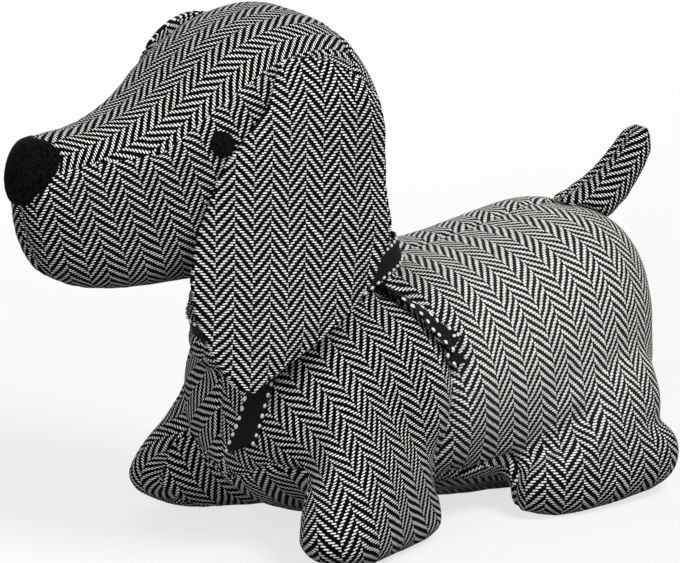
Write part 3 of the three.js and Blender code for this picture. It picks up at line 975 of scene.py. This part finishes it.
class TWEED_OT_ears(bpy.types.Operator):
    """Sews the two hanging ears"""
    bl_idname = "tweed_dog.ears"
    bl_label = "Ears"

    def execute(self, context):
        for node, (side, way) in EARS.items():
            piece = ear_piece(node, side, way)
            turn_ear_grain(piece)
            flat = points_of(piece)
            flat[:, 1] = 0
            far, at = nearest_on(rim_of(way), flat)
            # A row of gathers follows the rim, where the two layers were sewn and turned
            rise = np.array([noise.noise(p / (5 * MM) + Vector((side, 0, 0))) for p in at])
            rise = 0.45 * MM * rise * np.exp(-far / (6 * MM)) * np.minimum(1, far / SEAM_FLAT)
            rise -= 0.5 * MM * np.exp(-((far - 3.4 * MM) / (1.3 * MM)) ** 2)
            rise += [0.5 * MM * noise.noise(Vector(p) / (26 * MM)) for p in flat]
            push_out(piece, rise)
            finish_padded(piece, node, wool_herringbone_twill, 0.15)
        return {"FINISHED"}


def cut_felt(piece, node):
    """The nose is cut as a shield that narrows towards the chin, the eyes as discs a little higher
    than long."""
    co = points_of(piece)
    middle = co.mean(axis=0)
    if node == "nose":
        tilt, half_height = math.radians(26), 14 * MM
        low = (co - middle) @ np.array([-math.sin(tilt), 0, -math.cos(tilt)]) / half_height
        co[:, 1] *= 0.87 - 0.1 * np.clip(low, -1, 1)
        co[:, 2] -= 2 * MM * np.clip(low, 0, 1.2) ** 2
    else:
        co[:, 0] = middle[0] - 0.7 * MM + (co[:, 0] - middle[0]) * 0.88
    move_points(piece, co)


# Felt pieces: grid in mm, and how much of each is filling
FELT = {"nose": (1.6, 0.6), "eye_left": (0.7, 0.3), "eye_right": (0.7, 0.3)}


class TWEED_OT_face(bpy.types.Operator):
    """Makes the padded felt nose and the two felt eyes"""
    bl_idname = "tweed_dog.face"
    bl_label = "Nose and eyes"

    def execute(self, context):
        for node, (voxel, fill) in FELT.items():
            piece = merged_copy(node, "felt_" + node)
            remesh(piece, voxel * MM, 2)
            subdivide(piece, 1)
            cut_felt(piece, node)
            push_out(piece, [
                0.12 * MM * noise.noise(p / (1.6 * MM)) + 0.1 * MM * noise.noise(p / (5 * MM))
                for p in map(Vector, points_of(piece))])
            finish_padded(piece, node, pressed_wool_felt, fill)
        return {"FINISHED"}


# The ribbon. A line of it is (points, ways up, slant of the cut at its end, points at its start
# that carry no stitches).

# The neck under the ribbon, in mm and degrees
NECK_X, NECK_Z, NECK_LENGTH, NECK_WIDTH, NECK_LEAN = -142, 118.5, 107, 74, math.radians(17.5)
KNOT_TURN, KNOT_HALF, KNOT_RISE = 238, 8.6, 3.4
# The band rides up on the left, and sinks in between the shoulders at the back: turn, and mm up the neck
band_rise = along([
    (0, -3.5), (30, -4), (60, -3), (90, -1.5), (150, 0), (200, 0.5), (238, 2), (270, 3.5), (300, 3.5),
    (330, -0.5), (345, -2.5), (360, -3.5),
])
# How far the band stands off the neck's oval: turn, and mm
band_room = along([(0, -0.8), (60, 0), (200, 0), (238, 0.5), (300, 2), (335, 2.2), (350, 0), (360, -0.8)])
chest_tail = [
    (-171, -34, 106), (-176.2, -30.5, 97), (-179.3, -27.6, 88.5), (-181.4, -27.2, 81.6),
    (-183, -25.8, 73.4), (-184.1, -22.8, 63.4), (-184.3, -15.8, 50.7),
]
shoulder_tail = [
    (-119.4, -30.1, 122.1), (-113.7, -31.9, 118.7), (-108.3, -35.4, 114.7), (-104.6, -44.1, 109.7),
    (-100.5, -50.8, 103.3), (-95.7, -54.5, 96.6), (-92.2, -56.8, 90.5),
]
# Each tail: points, height off the cloth in mm, ways up at its start and its end and how far it
# follows them, slant of its cut, points without stitches. The second stands nearly on its edge.
TAILS = (
    (chest_tail, 1.3, ((-0.9, -0.3, 0.2), (-0.75, -0.6, 0.2)), 0.6, -1.27, 1),
    (shoulder_tail, 3.6, ((0.55, -0.17, 0.82), (0.19, -0.75, 0.635)), 1, -0.77, 14),
)
# A strip's outline, as shares of half its width and half its thickness, and the points over which
# its cut's slant sets in
STRIP = [(-1, 0), (-0.97, 0.8), (-0.9, 1), (-0.4, 1), (0, 1), (0.4, 1), (0.9, 1), (0.97, 0.8), (1, 0),
         (0.97, -0.8), (0.9, -1), (0.4, -1), (0, -1), (-0.4, -1), (-0.9, -1), (-0.97, -0.8)]
SLANT_POINTS = 12


def shear_at(line, i, slant):
    """How far a strip's two edges run apart at a point: nothing at first, its cut's slant at the end."""
    return slant * max(0.0, 1 - (len(line) - 1 - i) / SLANT_POINTS)


def strip_axes(line, outs, i):
    """A strip's directions across and up at one of its points."""
    ahead = (line[min(i + 1, len(line) - 1)] - line[max(i - 1, 0)]).normalized()
    across = outs[i].cross(ahead).normalized()
    return across, ahead.cross(across).normalized()


def ribbon_strip(bm, uv, line, outs, slant):
    """A flat strip with rounded selvedges along a line. outs: at each point the way up."""
    half, rise = trim().ribbon_width / 2, trim().ribbon_thickness / 2
    rings, flats, run = [], [], 0.0
    for i, point in enumerate(line):
        across, up = strip_axes(line, outs, i)
        ahead = across.cross(up)
        if i:
            run += (line[i] - line[i - 1]).length
        shear = shear_at(line, i, slant)
        rings.append([bm.verts.new(point + across * half * a + up * rise * b + ahead * half * shear * a)
                      for a, b in STRIP])
        flats.append([(half * a, run + half * shear * a) for a, b in STRIP])
    for i in range(len(rings) - 1):
        for k in range(len(STRIP)):
            n = (k + 1) % len(STRIP)
            corners = [(i, k), (i + 1, k), (i + 1, n), (i, n)]
            face = bm.faces.new([rings[row][col] for row, col in corners])
            for loop, (row, col) in zip(face.loops, corners):
                loop[uv].uv = flats[row][col]
    bm.faces.new(rings[0])
    bm.faces.new(rings[-1][::-1])


def stitch_rows(name, rails):
    """Saddle stitches of thick thread along the rails, set out by geometry nodes."""
    sizes = trim()
    mesh = bpy.data.meshes.new(name)
    verts, edges = [], []
    for rail in rails:
        edges += [(len(verts) + i, len(verts) + i + 1) for i in range(len(rail) - 1)]
        verts += [tuple(p) for p in rail]
    mesh.from_pydata(verts, edges, [])
    piece = new_object(name, mesh)
    tree = bpy.data.node_groups.new("saddle_stitches", "GeometryNodeTree")
    faces, node = tree.interface, partial(add, tree)
    faces.new_socket("Geometry", in_out="INPUT", socket_type="NodeSocketGeometry")
    for label, value in (("Pitch", sizes.stitch_pitch), ("Length", sizes.stitch_length),
                         ("Thickness", sizes.stitch_thickness)):
        faces.new_socket(label, in_out="INPUT", socket_type="NodeSocketFloat").default_value = value
    paint = faces.new_socket("Material", in_out="INPUT", socket_type="NodeSocketMaterial")
    faces.new_socket("Geometry", in_out="OUTPUT", socket_type="NodeSocketGeometry")
    given = node("NodeGroupInput").outputs
    curve = node("GeometryNodeMeshToCurve", given["Geometry"])
    spaced = node("GeometryNodeResampleCurve", {"Curve": curve, "Length": given["Pitch"]}, mode="LENGTH")
    ball = node("GeometryNodeMeshUVSphere", {"Segments": 8, "Rings": 6, "Radius": 0.5})
    size = node("CombineXYZ", given["Thickness"], given["Thickness"], given["Length"])
    shaped = node("GeometryNodeTransform", {"Geometry": ball, "Scale": size})
    turn = node("FunctionNodeAlignRotationToVector", {"Vector": node("GeometryNodeInputTangent")}, axis="Z")
    vary = node("FunctionNodeRandomValue", {2: 0.85, 3: 1.12, "Seed": 4}, data_type="FLOAT")
    placed = node("GeometryNodeInstanceOnPoints", {
        "Points": spaced, "Instance": shaped, "Rotation": turn, "Scale": vary.outputs[1]})
    smooth = node("GeometryNodeSetShadeSmooth", node("GeometryNodeRealizeInstances", placed))
    painted = node("GeometryNodeSetMaterial", {"Geometry": smooth, "Material": given["Material"]})
    node("NodeGroupOutput", painted)
    rows = modify(piece, "NODES", node_group=tree)
    rows[paint.identifier] = material_of(polyester_sewing_thread)
    bake_modifiers(piece)
    return piece


def lay_on(cloth, points, clearance):
    """Puts a strip's middle on the cloth and gives the way up at each point."""
    placed, outs = [], []
    for p in points:
        near, normal, _, _ = cloth.find_nearest(p)
        placed.append(near + normal * clearance)
        outs.append(normal.copy())
    return placed, outs


def lean_to(outs, leans, share):
    """Draws a strip's ways up towards given ones. leans: the ways at the start and at the end."""
    last = len(outs) - 1
    for _ in range(3):
        outs = [(outs[max(i - 1, 0)] + out * 2 + outs[min(i + 1, last)]).normalized()
                for i, out in enumerate(outs)]
    start, end = (Vector(lean).normalized() for lean in leans)
    return [out.lerp(start.lerp(end, (i / last) ** 1.7), share).normalized()
            for i, out in enumerate(outs)]


def round_neck(turn, lift=0.0, up_neck=0.0):
    """A point round the neck and the way out there. lift: mm off the neck's cloth; up_neck: mm up it."""
    cos, sin = math.cos(NECK_LEAN), math.sin(NECK_LEAN)
    angle = math.radians(turn)
    lift, up_neck = lift + band_room(turn % 360), up_neck + band_rise(turn % 360)
    out = Vector((math.cos(angle), math.sin(angle), 0))
    flat = Vector((NECK_LENGTH / 2 * out.x, NECK_WIDTH / 2 * out.y, 0)) + out * lift
    across = Vector((out.x / NECK_LENGTH, out.y / NECK_WIDTH, 0)).normalized()
    place = Vector((NECK_X + flat.x * cos - up_neck * sin, flat.y,
                    NECK_Z + flat.x * sin + up_neck * cos))
    return place * MM, Vector((across.x * cos, across.y, across.x * sin))


def ribbon_lines(cloth):
    """The lines of the band, the knot's two loops and the two tails."""
    lift = trim().ribbon_thickness / MM / 2 + 0.35
    ring = [round_neck(KNOT_TURN + 3 * i, lift) for i in range(121)]
    lines = [(*zip(*ring), 0.0, 1)]
    # The knot: a loop of ribbon that wraps the band, and a second one that crosses it
    up_neck = (round_neck(KNOT_TURN, 0, 1)[0] - round_neck(KNOT_TURN)[0]).normalized() * 0.5
    for size, slope in ((1.0, 5), (0.82, -16)):
        loop = []
        for i in range(41):
            cos, sin = math.cos(math.radians(9 * i)), math.sin(math.radians(9 * i))
            rise = KNOT_HALF * size * cos
            place, out = round_neck(
                KNOT_TURN + slope * rise / KNOT_HALF, 2.6 + KNOT_RISE * size * sin, rise)
            loop.append((place, (out * sin + up_neck * cos).normalized()))
        lines.append((*zip(*loop), 0.0, 1))
    for tail, lift, leans, share, slant, bare in TAILS:
        line = smooth_line([Vector(p) * MM for p in tail], 1.5 * MM)
        placed, ups = lay_on(cloth, line, lift * MM)
        lines.append((placed, lean_to(ups, leans, share), slant, bare))
    return lines


def stitch_rails(lines):
    """The rows that the stitches follow, along both edges of each line."""
    sizes, rails = trim(), []
    for line, ups, slant, bare in lines:
        for hand in (-1, 1):
            rail = []
            for i, p in enumerate(line):
                across, up = strip_axes(line, ups, i)
                aside = hand * (sizes.ribbon_width / 2 - sizes.stitch_inset)
                ahead = across.cross(up) * shear_at(line, i, slant)
                rail.append(p + (across + ahead) * aside + up * sizes.ribbon_thickness * 0.55)
            rails.append(rail[bare:-1])
    return rails


class TWEED_OT_ribbon(bpy.types.Operator):
    """Ties the grosgrain ribbon round the neck and sews its stitches"""
    bl_idname = "tweed_dog.ribbon"
    bl_label = "Ribbon"

    def execute(self, context):
        lines = ribbon_lines(tree_of(bpy.data.objects["stuffed_body"]))
        bm = bmesh.new()
        uv = bm.loops.layers.uv.new("weave")
        for line, ups, slant, _ in lines:
            ribbon_strip(bm, uv, line, ups, slant)
        bmesh.ops.recalc_face_normals(bm, faces=bm.faces)
        piece = object_from(bm, "grosgrain_ribbon")
        stitches = stitch_rows("saddle_stitches", stitch_rails(lines))
        dress(piece, polyester_grosgrain)
        for part in (piece, stitches):
            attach(part, "root")
        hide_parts("ribbon")
        length = sum((b - a).length for line, *_ in lines for a, b in zip(line, line[1:]))
        return {"FINISHED"}


# The camera as fitted to the photo: the place it looks at, its turn and height, its distance in
# metres, and its focal length in pixels of a picture of that width
TARGET, AZIMUTH, ELEVATION, DISTANCE = Vector((-0.114, 0, 0.1151)), math.radians(-38), math.radians(15), 3.0
FOCAL_PIXELS, PICTURE_WIDTH, SENSOR_WIDTH = 6450, 680, 36
# Lamps: place, diameter, watts. All look at the dog's middle.
LAMPS = {
    "key": ((-0.05, -1.2, 1.5), 0.8, 28.5),
    "low": ((0.45, -1.5, 0.45), 0.8, 5),
    "fill": ((-1.6, -0.8, 0.75), 1.2, 18.5),
    "back": ((0.6, 1.4, 0.65), 1.2, 21),
}
LAMP_TARGET = Vector((-0.1, 0, 0.1))


class TWEED_OT_stage(bpy.types.Operator):
    """Sets up the camera, the pale floor and the soft lamps"""
    bl_idname = "tweed_dog.stage"
    bl_label = "Stage"

    def execute(self, context):
        scene = context.scene
        camera = new_object("camera", bpy.data.cameras.new("camera"))
        away = Vector((math.sin(AZIMUTH) * math.cos(ELEVATION), -math.cos(AZIMUTH) * math.cos(ELEVATION),
                       math.sin(ELEVATION)))
        camera.location = TARGET + away * DISTANCE
        camera.rotation_euler = (-away).to_track_quat("-Z", "Y").to_euler()
        put(camera.data, sensor_width=SENSOR_WIDTH, lens=FOCAL_PIXELS / PICTURE_WIDTH * SENSOR_WIDTH,
            clip_end=20)
        scene.camera = camera
        bm = bmesh.new()
        bmesh.ops.create_grid(bm, x_segments=1, y_segments=1, size=6)
        floor = object_from(bm, "paper_floor")
        floor.data.materials.append(material_of(seamless_paper))
        self.sky(scene)
        for name, (place, size, watts) in LAMPS.items():
            lamp = put(bpy.data.lights.new(name, "AREA"), shape="DISK", size=size, energy=watts)
            holder = new_object(name, lamp)
            holder.location = place
            holder.rotation_euler = (LAMP_TARGET - Vector(place)).to_track_quat("-Z", "Y").to_euler()
        scene.view_settings.view_transform = "Standard"
        return {"FINISHED"}

    def sky(self, scene):
        """A white studio behind the floor, which itself lights the dog very little."""
        world = bpy.data.worlds.new("studio")
        world.use_nodes = True
        world.node_tree.nodes.clear()
        scene.world = world
        node = partial(add, world.node_tree)
        rays = node("LightPath")
        seen = node("Math.MAXIMUM", rays, rays.outputs["Is Glossy Ray"])
        strength = node("Math.MULTIPLY_ADD", seen, 0.9, 0.1)
        node("OutputWorld", node("Background", {"Color": (1, 1, 1, 1), "Strength": strength}))


# The scene's settings: key, title, group
SETTINGS = (
    ("tweed_dog_cloth", "Tweed", TweedSettings),
    ("tweed_dog_stuffing", "Filling", StuffingSettings),
    ("tweed_dog_trim", "Trim", TrimSettings),
)
OPERATORS = (TWEED_OT_stage, TWEED_OT_body, TWEED_OT_head, TWEED_OT_tail, TWEED_OT_ears, TWEED_OT_face,
             TWEED_OT_ribbon)


class TWEED_PT_panel(bpy.types.Panel):
    """Lists the pieces of the door stop and their settings"""
    bl_idname = "TWEED_PT_panel"
    bl_label = "Tweed dog door stop"
    bl_space_type = "VIEW_3D"
    bl_region_type = "UI"
    bl_category = "Door stop"

    def draw(self, context):
        for key, title, group in SETTINGS:
            box = self.layout.box()
            box.label(text=title)
            for name in group.__annotations__:
                box.prop(getattr(context.scene, key), name)
        for operator in OPERATORS:
            self.layout.operator(operator.bl_idname)


CLASSES = (*(group for _, _, group in SETTINGS), *OPERATORS, TWEED_PT_panel)


def register():
    for item in CLASSES:
        bpy.utils.register_class(item)
    for key, _, group in SETTINGS:
        setattr(bpy.types.Scene, key, PointerProperty(type=group))


def unregister():
    for key, _, _ in SETTINGS:
        delattr(bpy.types.Scene, key)
    for item in reversed(CLASSES):
        bpy.utils.unregister_class(item)


def main():
    register()
    for operator in OPERATORS:
        group, name = operator.bl_idname.split(".")
        getattr(getattr(bpy.ops, group), name)()


if __name__ == "__main__":
    main()
